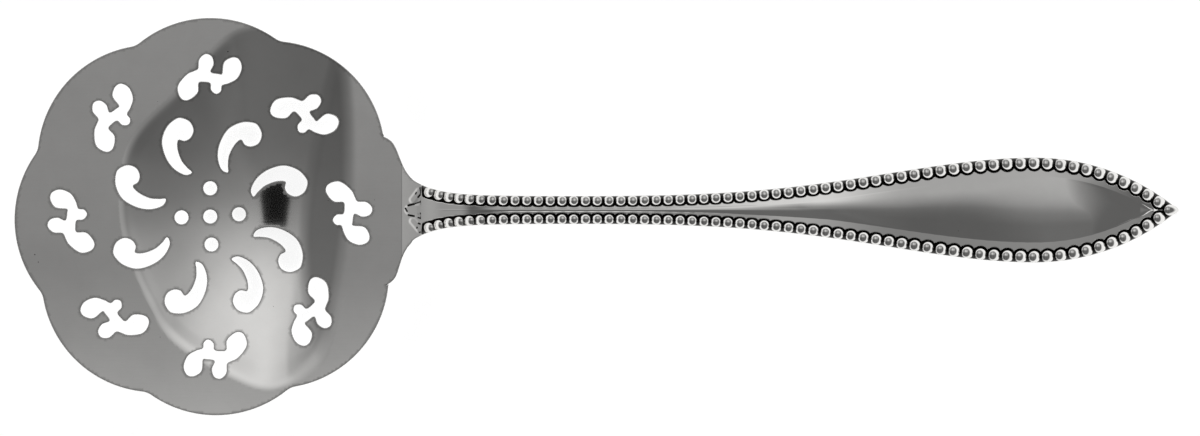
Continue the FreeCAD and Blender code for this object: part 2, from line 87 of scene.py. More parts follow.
def underside(x):  # smooth cubic spans through the stations of the profile
    x = np.asarray(x, float)
    stations = handle["profile"]
    height = np.full(x.shape, stations[0][1])
    for (x0, z0, s0), (x1, z1, s1) in zip(stations, stations[1:]):
        run = x1 - x0
        t = (x - x0) / run
        start = (2 * t ** 3 - 3 * t ** 2 + 1) * z0 + (t ** 3 - 2 * t ** 2 + t) * run * s0
        end = (3 * t ** 2 - 2 * t ** 3) * z1 + (t ** 3 - t ** 2) * run * s1
        height = np.where(x >= x0, start + end, height)
    return height


def ledge(x):  # floor that the beads stand on
    return underside(x) + handle["shankThick"] - (handle["shankThick"] - handle["bladeThick"]) * swell(x)


# Bead rows: 61 along each side, evenly graded with their own diameter, and one at the tip
beads = {
    "count": 61, "small": 1.65, "large": 1.95, "edgeGap": 0.05, "first": 25.6,
    "rise": 0.45, "ringShank": 0.17, "ringBlade": 0.36, "ringNeck": 0.13, "ringNeckLength": 8.0,
    "scallopShank": 0.25, "scallopSwell": 0.65,
    # rings of a dome as shares of its radius, and the oxide and painted shade on them and on the skirt below
    "around": 18, "rings": [0.2, 0.42, 0.6, 0.74, 0.86, 0.95, 1.0],
    "ringOxideAndShade": [0, 0, 0, 0, 0, 0, 0.15, 1.0],
    "capSphere": 1.27,  # radius of the dome's sphere in the bead's own, which leaves its rim at 52 degrees
    "squareness": 0.35, "edgeFall": 0.95, "tipPinch": 0.8, "tipGap": 0.02, "skirt": 0.15,
    "seed": 7, "widthSpread": (0.97, 1.02), "heightSpread": (0.95, 1.05),
}


def beadDiameter(x):
    return beads["small"] + (beads["large"] - beads["small"]) * swell(x)


def beadInset(x):
    return beads["edgeGap"] + beadDiameter(x) / 2


def beadPlaces():  # equal counts of diameters between one bead and the next, out to the tip
    reach = tipArc - beadInset(widest)
    end = widest + math.sqrt(reach ** 2 - (tipArc - handle["bladeHalf"]) ** 2)
    x = np.linspace(beads["first"], end, 4000)
    y, z = halfWidth(x, beadInset(x)), ledge(x)
    steps = np.sqrt(np.diff(x) ** 2 + np.diff(y) ** 2 + np.diff(z) ** 2)
    counted = np.append(0, np.cumsum(steps / beadDiameter((x[1:] + x[:-1]) / 2)))
    return np.interp(np.linspace(0, counted[-1], beads["count"] + 1), counted, x)


beadX = beadPlaces()
beadY = halfWidth(beadX, beadInset(beadX))
beadY[-1] = 0


def ringGap(x):  # width of the sunk ring round a bead
    wider = beads["ringNeck"] * np.exp(-(x - beads["first"]) / beads["ringNeckLength"])
    return beads["ringShank"] + (beads["ringBlade"] - beads["ringShank"]) * swell(x) + wider


def fieldEdge(x):  # where the raised field ends: scallops round the beads, flatter in the shank
    radius = beadDiameter(beadX) / 2 + ringGap(beadX)
    off = x[:, None] - beadX[None, :]
    under = np.sqrt(np.maximum(radius ** 2 - off ** 2, 0))
    scallops = np.where(np.abs(off) < radius, beadY - under, 1e3).min(axis=1)
    straight = halfWidth(x, beadInset(x)) - beadDiameter(x) / 2 - ringGap(x)
    deep = beads["scallopShank"] + beads["scallopSwell"] * swell(x)
    edge = straight + (np.minimum(scallops, halfWidth(x, beadInset(x))) - straight) * deep
    return np.maximum(edge, 0)


# Bowl: a pressed dish in a flat, lobed sheet
bowl = {
    "lobes": 8, "lobeRadius": 19.5, "reach": 34.2, "cuspRound": 0.5, "swing": 1.9, "centreX": -11.5,
    "sheet": 1.2, "rimTop": 4.1, "dishBottom": 1.1, "step": 0.05, "stepWidth": 0.08, "meanRing": 27.0,
    # crease round the dish: its radius at each of these angles, in degrees
    "creaseAt": [0, 40, 75, 90, 102, 118, 133, 145, 157, 170, 185, 200,
                 213, 230, 245, 256, 267, 275, 282, 292, 304, 318, 338],
    "creaseRing": [27, 28, 30, 31, 31.4, 28.5, 26.0, 27.0, 28.1, 27.1, 26.8, 26.3,
                   26.7, 27.9, 27.6, 27.8, 29.3, 28.4, 25.0, 22.6, 21.6, 22.4, 25.0],
    "creaseBlend": 60,
    # fold between the dish and the flange before the neck
    "foldX": 11.8, "foldBow": 0.004, "foldPeak": 10.0, "foldSlope": 0.42, "crease": 0.2, "fold": 0.6,
    "foldFoot": 0.5,
    "lift": 600.0, "liftFrom": -10.0,  # radius of the rim's slight rise on the right, and where it begins
    "neckFrom": 17.0, "neckRound": 0.02, "neckBackRound": 0.8,
}
swing = math.radians(bowl["swing"])


def onBowl(ring, turn):  # ring and turn about the bowl's middle, which lies a little off the handle's line
    arm = bowl["centreX"] - handle["bowlEdge"]
    x = arm * math.cos(swing) + handle["bowlEdge"] + ring * np.cos(turn + swing)
    y = arm * math.sin(swing) + ring * np.sin(turn + swing)
    return np.stack([x, y], axis=-1)


def rimRing(turn):  # overlapping circles, one a lobe, with the corners between them rounded
    step = 2 * np.pi / bowl["lobes"]
    ring = bowl["reach"] - bowl["lobeRadius"]
    own = np.abs((turn + step / 2) % step - step / 2)
    near, far = [
        ring * np.cos(t) + np.sqrt(bowl["lobeRadius"] ** 2 - (ring * np.sin(t)) ** 2)
        for t in (own, step - own)
    ]
    return softMax(near, far, bowl["cuspRound"])


# Leaf struck where the neck leaves the bowl: raised petals and sunk strokes as (x, y, x, y, half width)
leaf = {
    "lift": 0.02, "soft": 0.25, "liftEnd": (23.6, 24.3),
    # the strokes' dark colour reaches past their sunk width: oxide in them and painted shade along the
    # petals' edges
    "depth": 0.07, "strokeSoft": 0.05, "strokeShadeSpread": 0.06,
    "petals": [
        (22.4, 0.05, 24.6, 0.1, 0.85), (22.9, 1.75, 24.0, 3.2, 0.55), (22.9, -1.9, 24.1, -3.3, 0.55),
    ],
    "strokes": [
        (22.13, 0.79, 23.1, 1.02, 0.15), (23.1, 1.02, 24.34, 1.45, 0.07), (24.34, 1.53, 24.5, 0.69, 0.12),
        (23.84, 2.2, 24.34, 2.78, 0.12), (24.34, 2.78, 24.17, 3.78, 0.1), (23.4, 2.75, 23.5, 3.0, 0.08),
        (21.63, 0.28, 21.92, -0.22, 0.1), (22.18, -0.88, 23.09, -1.05, 0.14),
        (24.26, -0.55, 24.51, -0.96, 0.1), (24.51, -0.96, 24.34, -1.46, 0.12),
        (24.34, -1.46, 23.84, -1.31, 0.1), (23.92, -2.3, 24.51, -2.54, 0.11),
        (23.6, -3.1, 23.66, -2.98, 0.09),
        (24.58, -3.13, 24.34, -3.71, 0.09), (24.34, -3.71, 24.08, -3.88, 0.07),
    ],
}


def strokeShade(x, y, strokes, soft):  # 1 inside any stroke, falling to 0 over soft outside its edge
    shade = np.zeros(np.shape(x))
    for x0, y0, x1, y1, half in strokes:
        squared = (x1 - x0) ** 2 + (y1 - y0) ** 2
        along = np.clip(((x - x0) * (x1 - x0) + (y - y0) * (y1 - y0)) / squared, 0, 1)
        away = np.hypot(x - x0 - along * (x1 - x0), y - y0 - along * (y1 - y0))
        shade = np.maximum(shade, 1 - softStep(half - soft, half + soft, away))
    return shade


def creaseRing(turn):  # mean of the given radii, weighted by how near their angles are
    away = turn[..., None] - np.radians(bowl["creaseAt"])
    near = np.exp(bowl["creaseBlend"] * (np.cos(away) - 1))
    return (near * bowl["creaseRing"]).sum(axis=-1) / near.sum(axis=-1)


def pressedSheet(x, y):  # lower of rim and dish or wall; the dish is a paraboloid that widens to its crease
    rim = bowl["rimTop"] + np.maximum(bowl["liftFrom"] - y, 0) ** 2 / (2 * bowl["lift"])
    share = np.hypot(x, y) / creaseRing(np.arctan2(y, x))
    even = np.hypot(x, y) / bowl["meanRing"]
    squared = even ** 2 + (share ** 2 - even ** 2) * softStep(0.3, 1, share)
    dish = bowl["dishBottom"] + (bowl["rimTop"] - bowl["dishBottom"] - bowl["step"]) * squared
    dish = dish + bowl["step"] * softStep(1 - bowl["stepWidth"], 1, share)
    foldX = bowl["foldX"] - bowl["foldBow"] * (y - bowl["foldPeak"]) ** 2
    wall = bowl["rimTop"] + bowl["foldSlope"] * (x - foldX)
    rounding = bowl["crease"] + (bowl["fold"] - bowl["crease"]) * softStep(0, bowl["foldX"], x)
    return softMin(rim, softMax(dish, wall, bowl["foldFoot"]), rounding)


def sheetTop(x, y):  # the pressed sheet, from the neck on the higher of it and the handle, and the leaf
    pressed = pressedSheet(x, y)
    joined = softMax(pressed, ledge(x) + handle["fieldRise"], bowl["neckRound"])
    top = np.where(x > bowl["neckFrom"], joined, pressed)
    lifted = strokeShade(x, y, leaf["petals"], leaf["soft"])
    sunk = strokeShade(x, y, leaf["strokes"], leaf["strokeSoft"])
    return top + leaf["lift"] * lifted * (1 - softStep(*leaf["liftEnd"], x)) - leaf["depth"] * sunk


def sheetBack(x, y):  # the sheet's thickness lower, worn flat on the table, thicker in the neck
    back = pressedSheet(x, y) - bowl["sheet"]
    joined = softMax(back, underside(x), bowl["neckBackRound"])
    return np.maximum(np.where(x > bowl["neckFrom"], joined, back), 0)


def slopeNormals(height, x, y, sign):  # unit normals of a height field, from its slopes over 0.04 mm
    step = 0.02
    alongX = (height(x + step, y) - height(x - step, y)) / (2 * step)
    alongY = (height(x, y + step) - height(x, y - step)) / (2 * step)
    normals = np.stack([-alongX, -alongY, np.ones_like(alongX)], axis=-1) * sign
    return normals / np.linalg.norm(normals, axis=-1, keepdims=True)


# Piercing: each opening is a smooth closed curve through a few points, given as (outward, leftward) from the
# middle of the pattern or from the scrolls' ring, and each turn is in degrees about that middle
commas = {
    "turns": [26.9, 70.3, 114.6, 160.5, 207.8, 254.5, 298.6, 337.4],
    "outline": [
        (8.2, -0.29), (8.37, 0.97), (10.15, 2.23), (12.52, 2.65), (15.22, 2.09), (17.04, 0.35),
        (17.67, -1.59), (17.39, -2.62), (16.26, -3.57), (14.77, -3.58), (13.79, -2.62), (13.69, -1.46),
        (14.3, -0.5), (12.95, 0.27), (10.89, 0.5), (9.27, 0.1),
    ],
}
scrolls = {
    "turns": [2.2, 47.6, 90.9, 135.1, 182.7, 227.2, 273.0, 317.3], "ring": 24.12,
    "outline": [
        (1.36, 1.6), (0.9, 2.4), (0.38, 3.52), (-1.07, 4.85), (-2.27, 5.17), (-3.7, 4.6), (-3.95, 3.4),
        (-2.75, 1.84), (-1.07, 1.63), (-0.88, 0.64), (-1.17, -0.46), (-2.3, -0.55), (-2.99, -1.39),
        (-2.5, -2.2), (-1.55, -2.39), (-1.17, -3.61), (-0.34, -5.05), (1.36, -5.82), (2.8, -5.4),
        (3.16, -4.33), (2.6, -3.1), (1.84, -2.71), (0.38, -2.51), (0.34, -1.89), (0.74, -0.46),
        (2.08, -1.0), (3.4, -0.7), (3.81, 0.38), (2.9, 1.4),
    ],
}
rounds = {"radius": 1.19, "places": [(0, 0), (4.87, 90), (4.96, 4.5), (4.93, 181.7), (4.83, 272.6)]}
patternMiddle = np.array([-12.05, -1.12])


def throughPoints(points, spacing):  # closed curve of cubic spans through the points, sampled evenly
    points = np.array(points, float)
    before, after, far = [np.roll(points, shift, axis=0) for shift in (1, -1, -2)]
    t = np.linspace(0, 1, 24, endpoint=False)[:, None, None]
    curve = 0.5 * (2 * points + (after - before) * t + (2 * before - 5 * points + 4 * after - far) * t ** 2
                   + (3 * points - before - 3 * after + far) * t ** 3)
    curve = curve.transpose(1, 0, 2).reshape(-1, 2)
    return evenly(curve, spacing, closed=True)


def evenly(path, spacing, closed=False):  # the same path with equal steps
    path = np.vstack([path, path[:1]]) if closed else path
    length = np.append(0, np.cumsum(np.linalg.norm(np.diff(path, axis=0), axis=1)))
    count = int(round(length[-1] / spacing))
    at = np.linspace(0, length[-1], count + 1)[: count if closed else count + 1]
    return np.stack([np.interp(at, length, path[:, axis]) for axis in (0, 1)], axis=-1)


def turned(points, degrees):  # points turned about the origin
    a = math.radians(degrees)
    return np.array(points, float) @ np.array([[math.cos(a), math.sin(a)], [-math.sin(a), math.cos(a)]])


def openings(spacing):  # every hole of the bowl as a closed path, anticlockwise
    paths = [patternMiddle + turned(commas["outline"], turn) for turn in commas["turns"]]
    for turn in scrolls["turns"]:
        outline = np.array(scrolls["outline"]) + (scrolls["ring"], 0)
        paths.append(patternMiddle + turned(outline, turn))
    for ring, turn in rounds["places"]:
        around = np.linspace(0, 2 * np.pi, 12, endpoint=False)
        circle = rounds["radius"] * np.stack([np.cos(around), np.sin(around)], axis=-1)
        paths.append(patternMiddle + turned([(ring, 0)], turn) + circle)
    paths = [throughPoints(path, spacing) for path in paths]
    return [path if signedArea(path) > 0 else path[::-1] for path in paths]


def signedArea(path):  # above 0 when the path runs anticlockwise
    following = np.roll(path, -1, axis=0)
    return (path[:, 0] * following[:, 1] - following[:, 0] * path[:, 1]).sum() / 2


# Neck: the shoulders between the bowl's rim and the handle, seen from above, from the rim outwards
neck = {
    "left": [(17.45, 13.35), (17.75, 12.75), (18.65, 12.25), (19.4, 11.6), (20.03, 10.48), (20.72, 8.76),
             (21.4, 7.2), (22.09, 6.1)],
    "right": [(18.2, -13.1), (18.5, -12.85), (19.34, -12.25), (20.03, -11.3), (20.65, -9.45), (21.18, -7.9),
              (21.9, -6.55), (22.5, -5.82)],
    "edgeFrom": 23.0,
}


def sideOutline(points, side):  # a smooth run through the shoulder's points and on along the handle's edge
    x = np.linspace(neck["edgeFrom"], handle["join"], 8)
    edge = np.stack([x, side * halfWidth(x)], axis=-1)
    points = np.vstack([points, edge])
    t = np.append(0, np.cumsum(np.linalg.norm(np.diff(points, axis=0), axis=1)))
    at = np.linspace(0, t[-1], 400)
    before = np.vstack([points[:1], points[:-1]])
    after = np.vstack([points[1:], points[-1:]])
    slope = (after - before) / np.maximum(np.append(t[1:], t[-1]) - np.append(t[0], t[:-1]), 1e-9)[:, None]
    span = np.clip(np.searchsorted(t, at, side="right") - 1, 0, len(t) - 2)
    width = (t[span + 1] - t[span])[:, None]
    u = ((at - t[span])[:, None]) / width
    return ((2 * u ** 3 - 3 * u ** 2 + 1) * points[span] + (u ** 3 - 2 * u ** 2 + u) * width * slope[span]
            + (3 * u ** 2 - 2 * u ** 3) * points[span + 1] + (u ** 3 - u ** 2) * width * slope[span + 1])


def bowlOutline(spacing):  # open path: left side of the neck, round the rim, right side of the neck
    left = sideOutline(np.array(neck["left"]), 1)[::-1]
    right = sideOutline(np.array(neck["right"]), -1)
    half = math.pi / bowl["lobes"]
    gap = 0.008
    turn = np.linspace(half + gap, 2 * math.pi - half - gap, 3000)
    rim = onBowl(rimRing(turn), turn)
    return evenly(np.vstack([left, rim, right]), spacing)


def inwardNormals(path, closed):  # unit normals on the left of the path's direction
    if closed:
        ahead = np.roll(path, -1, axis=0) - np.roll(path, 1, axis=0)
    else:
        ahead = np.gradient(path, axis=0)
        ahead[[0, -1]] = [(-1, 0), (1, 0)]
    left = np.stack([-ahead[:, 1], ahead[:, 0]], axis=-1)
    return left / np.linalg.norm(left, axis=1, keepdims=True)


batch = 2000  # points that are tested at one time, so that the tables stay small


def insidePath(points, loops):  # even-odd test of points against closed paths
    inside = np.zeros(len(points), bool)
    for loop in loops:
        after = np.roll(loop, -1, axis=0)
        rise = np.where(np.abs(after[:, 1] - loop[:, 1]) < 1e-12, 1e-12, after[:, 1] - loop[:, 1])
        for start in range(0, len(points), batch):
            part = points[start:start + batch]
            above = (loop[None, :, 1] > part[:, None, 1]) != (after[None, :, 1] > part[:, None, 1])
            cross = loop[:, 0] + (part[:, None, 1] - loop[:, 1]) * (after[:, 0] - loop[:, 0]) / rise
            crossings = (above & (part[:, None, 0] < cross)).sum(axis=1)
            inside[start:start + batch] ^= (crossings % 2).astype(bool)
    return inside


def clearOf(points, others, gap):  # points that lie farther than gap from every other point
    far = np.ones(len(points), bool)
    for start in range(0, len(points), batch):
        part = points[start:start + batch]
        away = ((part[:, None, :] - others[None, :, :]) ** 2).sum(axis=2).min(axis=1)
        far[start:start + batch] = away > gap ** 2
    return far


# Sheared edges: worn round, and darkened down their sides and along the line where they begin, partly by
# tarnish and partly by painted shade that draws a dark outline; the steps round an edge are (inward, down)
# in its radius
edges = {"radius": 0.15, "tarnishAndShade": 0.8, "line": 0.45}
edgeSteps = [(1.0, 0.0), (0.55, 0.1), (0.2, 0.4), (0.0, 1.0)]


def outShare(down):  # how far a rounded edge's normal has turned outward, by how far it has gone down
    return math.sin(math.acos(1 - down))


def gridSpots(x0, x1, y0, y1, step):  # points in even triangles, their rows 0.866 of a step apart
    x, y = np.meshgrid(np.arange(x0, x1, step), np.arange(y0, y1, step * 0.866))
    x = x + np.where(np.arange(x.shape[0]) % 2 == 0, 0, step / 2)[:, None]
    return np.stack([x.ravel(), y.ravel()], axis=-1)


# Plan of the bowl: spots spaced evenly, closer in the neck and closest under the leaf, as
# (x, x, y, y, step, gap to the edges), and two rows beside the bend where the neck starts
plan = {
    "rim": 0.4, "opening": 0.28,
    "coarse": (-46, 20.4, -36, 34, 0.45, 0.22),
    "middle": (20.4, handle["join"] - 0.1, -13, 13, 0.3, 0.2),
    "fine": (20.4, handle["join"] - 0.05, -4.6, 4.6, 0.09, 0.08),
    "bendReach": 13, "bendStep": 0.2, "bendAside": 0.05, "bendClear": 0.15, "bendClearCoarse": 0.2,
}


def bowlSpots(borders, loops):  # the points of the plan between its edges
    coarse, middle, fine = [gridSpots(*plan[name][:5]) for name in ("coarse", "middle", "fine")]
    middle = middle[np.abs(middle[:, 1]) >= plan["fine"][3]]
    reach = np.linspace(17, 23, 601)
    bend = reach[np.argmax(ledge(reach) + handle["fieldRise"] > bowl["rimTop"])]  # the neck tops the rim here
    rows = np.arange(-plan["bendReach"], plan["bendReach"], plan["bendStep"])
    besideBend = [(bend + aside, y) for y in rows for aside in (-plan["bendAside"], plan["bendAside"])]
    middle = middle[np.abs(middle[:, 0] - bend) > plan["bendClear"]]
    coarse = coarse[np.abs(coarse[:, 0] - bend) > plan["bendClearCoarse"]]
    fine = np.vstack([fine, besideBend])
    kept = [(coarse, plan["coarse"][5]), (middle, plan["middle"][5]), (fine, plan["fine"][5])]
    spots = np.vstack([points[clearOf(points, borders, gap)] for points, gap in kept])
    return spots[insidePath(spots, loops)]


def bowlPlan(loops):  # the plan's points, and its triangles turned anticlockwise
    following = []
    count = 0
    for loop in loops:
        index = np.arange(len(loop)) + count
        following.append(np.stack([index, np.roll(index, -1)], axis=-1))
        count += len(loop)
    borders = np.vstack(loops)
    points = np.vstack([borders, bowlSpots(borders, loops)])
    lines = [tuple(line) for line in np.vstack(following).tolist()]
    made = delaunay_2d_cdt([tuple(point) for point in points], lines, [], 0, 1e-7)
    flat, triangles = np.array(made[0]), np.array(made[2])
    triangles = triangles[insidePath(flat[triangles].mean(axis=1), loops)]
    corners = flat[triangles]
    area = np.cross(corners[:, 1] - corners[:, 0], corners[:, 2] - corners[:, 0])
    triangles[area < 0] = triangles[area < 0][:, ::-1]
    return flat, triangles


def bowlMesh(joinY):  # the plan lifted to both faces, with a rounded edge along every path
    r = edges["radius"]
    paths = [(bowlOutline(plan["rim"]), False)]
    paths += [(path[::-1], True) for path in openings(plan["opening"])]
    normals = [inwardNormals(path, closed) for path, closed in paths]
    rims = [path + normal * r for (path, closed), normal in zip(paths, normals)]
    join = np.stack([np.full(len(joinY), handle["join"]), joinY], axis=-1)
    flat, triangles = bowlPlan([np.vstack([rims[0], join[1:-1]])] + rims[1:])
    verts = [np.column_stack([flat, sheetTop(*flat.T)]), np.column_stack([flat, sheetBack(*flat.T)])]
    norms = [slopeNormals(sheetTop, *flat.T, 1), slopeNormals(sheetBack, *flat.T, -1)]
    # painted shade: the strokes darkened a little wider than they are sunk, as oxide and as the petals'
    # shadow edges
    shadedStrokes = [(x0, y0, x1, y1, half + leaf["strokeShadeSpread"]) for x0, y0, x1, y1, half in leaf["strokes"]]
    sunk = strokeShade(*flat.T, shadedStrokes, leaf["strokeSoft"])
    onEdge = 1 - clearOf(flat, np.vstack(rims), 0.001)
    # painted shade: a dark line along the start of every rounded edge, added to the strokes' shade
    shade = [np.maximum(sunk, edges["line"] * onEdge), np.zeros(len(flat))]
    faces = [triangles, triangles[:, ::-1] + len(flat)]
    total = 2 * len(flat)
    for (path, closed), normal, rim in zip(paths, normals, rims):
        upper, lower = sheetTop(*rim.T), sheetBack(*rim.T)
        upNormal, downNormal = slopeNormals(sheetTop, *rim.T, 1), slopeNormals(sheetBack, *rim.T, -1)
        outward = np.column_stack([-normal, np.zeros(len(normal))])
        rings = [(share, upper - r * down, upNormal, down) for share, down in edgeSteps]
        rings += [(share, lower + r * down, downNormal, down) for share, down in edgeSteps[::-1]]
        for share, height, flatNormal, down in rings:
            verts.append(np.column_stack([path + normal * r * share, height]))
            mixed = flatNormal * (1 - outShare(down)) + outward * outShare(down)
            norms.append(mixed / np.linalg.norm(mixed, axis=1, keepdims=True))
            # edge rings darkened by tarnish and painted shade, at least as dark as the painted outline
            shade.append(np.full(len(path), max(edges["line"], edges["tarnishAndShade"] * math.sqrt(down))))
        size = len(path)
        across = np.arange(size if closed else size - 1)
        following = (across + 1) % size
        for ring in range(len(rings) - 1):
            a, b = total + ring * size, total + (ring + 1) * size
            faces.append(np.stack([a + across, b + across, b + following], axis=-1))
            faces.append(np.stack([a + across, b + following, a + following], axis=-1))
        total += size * len(rings)
    return np.vstack(verts), faces, np.vstack(norms), np.concatenate(shade)


# Raised field between the bead rows: a wall, a tilted margin and a crowned panel on each side
field = {
    "wall": 0.14, "wallFromEdge": 0.12, "marginLeft": 0.9, "marginRight": 1.15, "marginMost": 0.42,
    "tiltLeft": 0.15, "tiltRight": 0.02, "tiltFall": 0.7, "tiltFallAt": (125, 145),
    "panelStart": 33.0, "panelFade": 7.0, "panelEnd": 151.2, "panelPoint": 3.0, "border": 0.015,
    "crown": 0.65, "crownHalf": 5.6, "crownShank": 0.14, "ridge": 0.02,
    # lean of the crown to one side, at each of these places along the handle
    "leanAt": [80, 95, 106, 113, 119, 126, 134, 141, 147],
    "lean": [0, 0.5, 0.05, 0.28, 0.35, -0.15, -0.24, -0.29, 0],
    "leanSoft": 25, "perBead": 8,
    "marginLines": (0.35, 0.7, 0.92), "panelLines": (1.0, 0.96, 0.9, 0.8, 0.66, 0.5, 0.33, 0.16),
}


def stationsAlong():  # rows across the handle: the same count for each bead, closer at the tip
    start = np.linspace(handle["join"], beadX[0], 8)[:-1]
    steps = np.arange(0, beads["count"] * field["perBead"] + 1) / field["perBead"]
    row = np.interp(steps, np.arange(beads["count"] + 1), beadX)
    last = np.linspace(row[-1], handle["tip"] - handle["endGap"], 9)[1:]
    return np.concatenate([start, row, last])


def sideLines(x, margin, tilt, side):  # from one edge in, as places, heights over the ledge and shades
    edge, r = halfWidth(x), edges["radius"]
    lean = np.sqrt(1 + np.gradient(edge, x) ** 2)
    flat = edge - r * np.minimum(lean, edge / r * 0.5)
    before = x < beadX[0] - beadDiameter(beadX[0]) / 2 - ringGap(beadX[0])
    gap = field["wallFromEdge"]
    wallAt = np.where(before, flat - gap, fieldEdge(x))
    wallAt = np.maximum(np.minimum(wallAt, flat - gap * softStep(0, 0.4, flat)), 0)
    raised = handle["fieldRise"] * softStep(0, 0.35, wallAt)
    w = field["wall"] * softStep(0, 0.3, wallAt)
    smoothField = np.maximum(halfWidth(x, beadInset(x)) - beadDiameter(x) / 2 - ringGap(x), 0)  # no scallops
    inner = wallAt - 0.6 * w
    panel = smoothField - np.minimum(margin, field["marginMost"] * smoothField)
    panel = np.minimum(panel, inner * 0.92) * softStep(0, field["panelPoint"], field["panelEnd"] - x)
    fade = softStep(field["panelStart"], field["panelStart"] + field["panelFade"], x)
    crown = field["crown"] * panel / field["crownHalf"]
    crown = np.maximum(crown, field["crownShank"] * softStep(0, 0.3, panel)) * fade
    lines = []
    floor = np.where(before, raised, 0.0)
    dark = np.where(before, 0.0, 1.0)
    unmarked = np.zeros_like(x)
    # channel under the beads, and the wall up to the field, darkened by oxide and painted shade
    foot = np.minimum(wallAt + 0.5 * w, flat - 0.02 * flat)
    lines.append((flat, floor, 0.75 * dark))
    for share in (0.4, 0.75):
        lines.append((flat + (foot - flat) * share, floor, dark))
    lines.append((foot, floor, dark))
    lines.append((wallAt + 0.1 * w, np.maximum(floor, raised * 0.3), dark))
    lines.append((wallAt - 0.3 * w, np.maximum(floor, raised * 0.85), 0.35 * dark))
    # margin, which rises inwards by its tilt
    outer = inner - 0.5 * w
    tilt = tilt * side * fade * (1 - field["tiltFall"] * softStep(*field["tiltFallAt"], x))
    for place in (inner, outer, *(outer + (panel - outer) * share for share in field["marginLines"])):
        lines.append((place, raised + tilt * (smoothField - place), unmarked))
    # panel: a parabola across, leaning to one side, on a low border
    half = field["leanSoft"] // 2
    lean = np.interp(x, field["leanAt"], field["lean"])
    even = np.ones(field["leanSoft"]) / field["leanSoft"]
    lean = np.convolve(np.pad(lean, half, mode="edge"), even, mode="valid") * side
    for share in field["panelLines"]:
        bulge = crown * (1 - share ** 2) * (1 + lean * share)
        bulge = (bulge + field["border"] * fade * softStep(1, 0.96, share)) * softStep(0, 0.3, wallAt)
        bulge = bulge + tilt * (smoothField - panel) * share ** 2
        lines.append((panel * share, raised + bulge, unmarked))
    return [np.array(values) for values in zip(*lines)]


def handleMesh():  # closed sections joined row by row: top, rounded right edge, back, rounded left edge
    x = stationsAlong()
    floor, half = ledge(x), halfWidth(x)
    left = sideLines(x, field["marginLeft"], field["tiltLeft"], 1)
    right = sideLines(x, field["marginRight"], field["tiltRight"], -1)
    middle = (left[1][-1] + right[1][-1]) / 2
    y = np.vstack([left[0], np.zeros_like(x)[None], -right[0][::-1]])
    top = floor + np.vstack([left[1], middle[None] + field["ridge"] * left[1][-1:], right[1][::-1]])
    spread = np.clip(np.abs(y) / np.maximum(half, 1e-6), 0, 1)
    rounding = softStep(handle["join"], handle["join"] + handle["backRoundLength"], x)
    back = np.maximum(underside(x) + handle["backRound"] * rounding * spread ** 4, 0)
    rows = [np.stack([np.broadcast_to(x, y.shape), y, top], axis=-1)]
    shades = [np.vstack([left[2], np.zeros_like(x)[None], right[2][::-1]])]

    def roundedEdge(line, side, surface, up, steps):  # rows beside a face's first or last line
        for share, down in steps:
            inward = (half - np.abs(y[line])) * share
            height = surface[line] + up * edges["radius"] * down
            rows.append(np.stack([x, side * (half - inward), height], axis=-1)[None])
            # the rounded edge darkened by tarnish and painted shade
            shades.append(np.full((1, len(x)), edges["tarnishAndShade"] * down))

    roundedEdge(-1, -1, top, -1, edgeSteps[1:])
    roundedEdge(-1, -1, back, 1, edgeSteps[:0:-1])
    rows.append(np.stack([np.broadcast_to(x, y.shape), y[::-1], back[::-1]], axis=-1))
    shades.append(np.zeros_like(y))
    roundedEdge(0, 1, back, 1, edgeSteps[1:])
    roundedEdge(0, 1, top, -1, edgeSteps[:0:-1])
    loops = np.vstack(rows).transpose(1, 0, 2)  # station, place round the section, xyz
    stations, around = loops.shape[:2]
    index = np.arange(stations * around).reshape(stations, around)
    here, ahead = index[:-1], index[1:]
    faces = np.stack([here, ahead, np.roll(ahead, -1, axis=1), np.roll(here, -1, axis=1)], axis=-1)
    faces = faces.reshape(-1, 4)[:, ::-1]
    cap = [index[-1][::-1].tolist()]
    return loops.reshape(-1, 3), faces, cap, np.vstack(shades).T.ravel(), y[:, 0]


